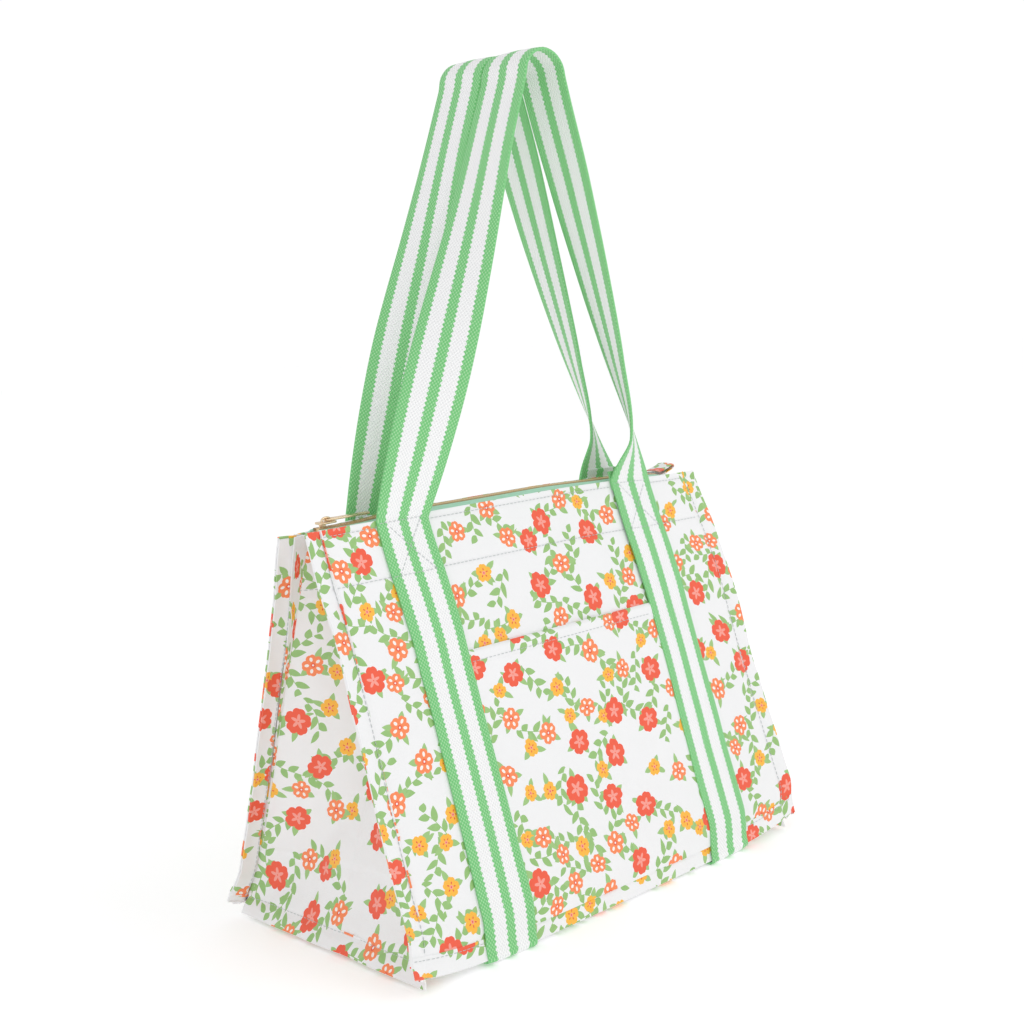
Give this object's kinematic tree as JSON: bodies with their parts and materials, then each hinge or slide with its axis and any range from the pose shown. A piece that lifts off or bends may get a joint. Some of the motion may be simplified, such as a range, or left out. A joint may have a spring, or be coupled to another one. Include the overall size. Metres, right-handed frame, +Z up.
{
  "type": "foldable tote bag",
  "caption": "Wedge-shaped zip-top tote bag in printed coated cloth, with striped webbing handles, a front slip pocket and a base and gussets that fold flat.",
  "frame": {"origin": "middle of the base, on the surface the bag stands on", "axes": "+X to the right along the bag, +Y towards the back, +Z up"},
  "size_m": [0.345, 0.18, 0.5173],
  "materials": {
    "printed_cloth": "white coated cotton with a small floral print, glossy",
    "lining_cloth": "mint green plain lining",
    "webbing": "green and white striped woven cotton webbing",
    "zip_tape": "mint green woven zip tape",
    "zip_metal": "pale gold"
  },
  "bodies": {
    "root": {"base_panel": "printed_cloth", "base_lining": "lining_cloth", "left_gusset": "printed_cloth", "right_gusset": "printed_cloth", "left_gusset_lining": "lining_cloth", "right_gusset_lining": "lining_cloth", "left_gusset_tuck": "printed_cloth", "right_gusset_tuck": "printed_cloth", "zip_tape_front": "zip_tape", "zip_teeth_front": "zip_metal", "zip_end_stop": "zip_metal", "zip_end_tab": "printed_cloth"},
    "front_shell": {"front_panel": "printed_cloth", "front_lining": "lining_cloth", "front_facing": "lining_cloth", "front_pocket": "printed_cloth", "front_pocket_hem": "printed_cloth", "front_left_seam": "printed_cloth", "front_right_seam": "printed_cloth", "front_bottom_seam": "printed_cloth", "front_left_strap": "webbing", "front_right_strap": "webbing"},
    "back_shell": {"back_panel": "printed_cloth", "back_lining": "lining_cloth", "back_facing": "lining_cloth", "back_left_seam": "printed_cloth", "back_right_seam": "printed_cloth", "back_bottom_seam": "printed_cloth", "back_left_strap": "webbing", "back_right_strap": "webbing", "zip_tape_back": "zip_tape", "zip_teeth_back": "zip_metal"},
    "front_handle": {"front_handle": "webbing"},
    "back_handle": {"back_handle": "webbing"},
    "zip_slider": {"slider_body": "zip_metal", "slider_bridge": "zip_metal"},
    "zip_pull": {"slider_pull": "zip_metal"}
  },
  "joints": [
    {"name": "fold_flat", "type": "hinge", "parent": "root", "child": "front_shell", "pos_m": [0, -0.0098, 0.2455], "axis": [1, 0, 0], "range_deg": [0, 37], "deforming": ["base_panel", "base_lining", "left_gusset", "right_gusset", "left_gusset_lining", "right_gusset_lining"]},
    {"name": "open_mouth", "type": "hinge", "parent": "root", "child": "back_shell", "pos_m": [0, 0.09, 0], "axis": [-1, 0, 0], "range_deg": [0, 20], "deforming": ["left_gusset_tuck", "right_gusset_tuck"]},
    {"name": "front_handle_swing", "type": "hinge", "parent": "root", "child": "front_handle", "pos_m": [0, -0.0154, 0.2459], "axis": [1, 0, 0], "range_deg": [0, 130]},
    {"name": "back_handle_swing", "type": "hinge", "parent": "back_shell", "child": "back_handle", "pos_m": [0, 0.0154, 0.2459], "axis": [-1, 0, 0], "range_deg": [0, 130]},
    {"name": "zip_slide", "type": "slide", "parent": "root", "child": "zip_slider", "axis": [1, 0, 0], "range_m": [0, 0.245]},
    {"name": "pull_swing", "type": "hinge", "parent": "zip_slider", "child": "zip_pull", "pos_m": [-0.144, 0, 0.25116], "axis": [0, -1, 0], "range_deg": [0, 170]}
  ]
}
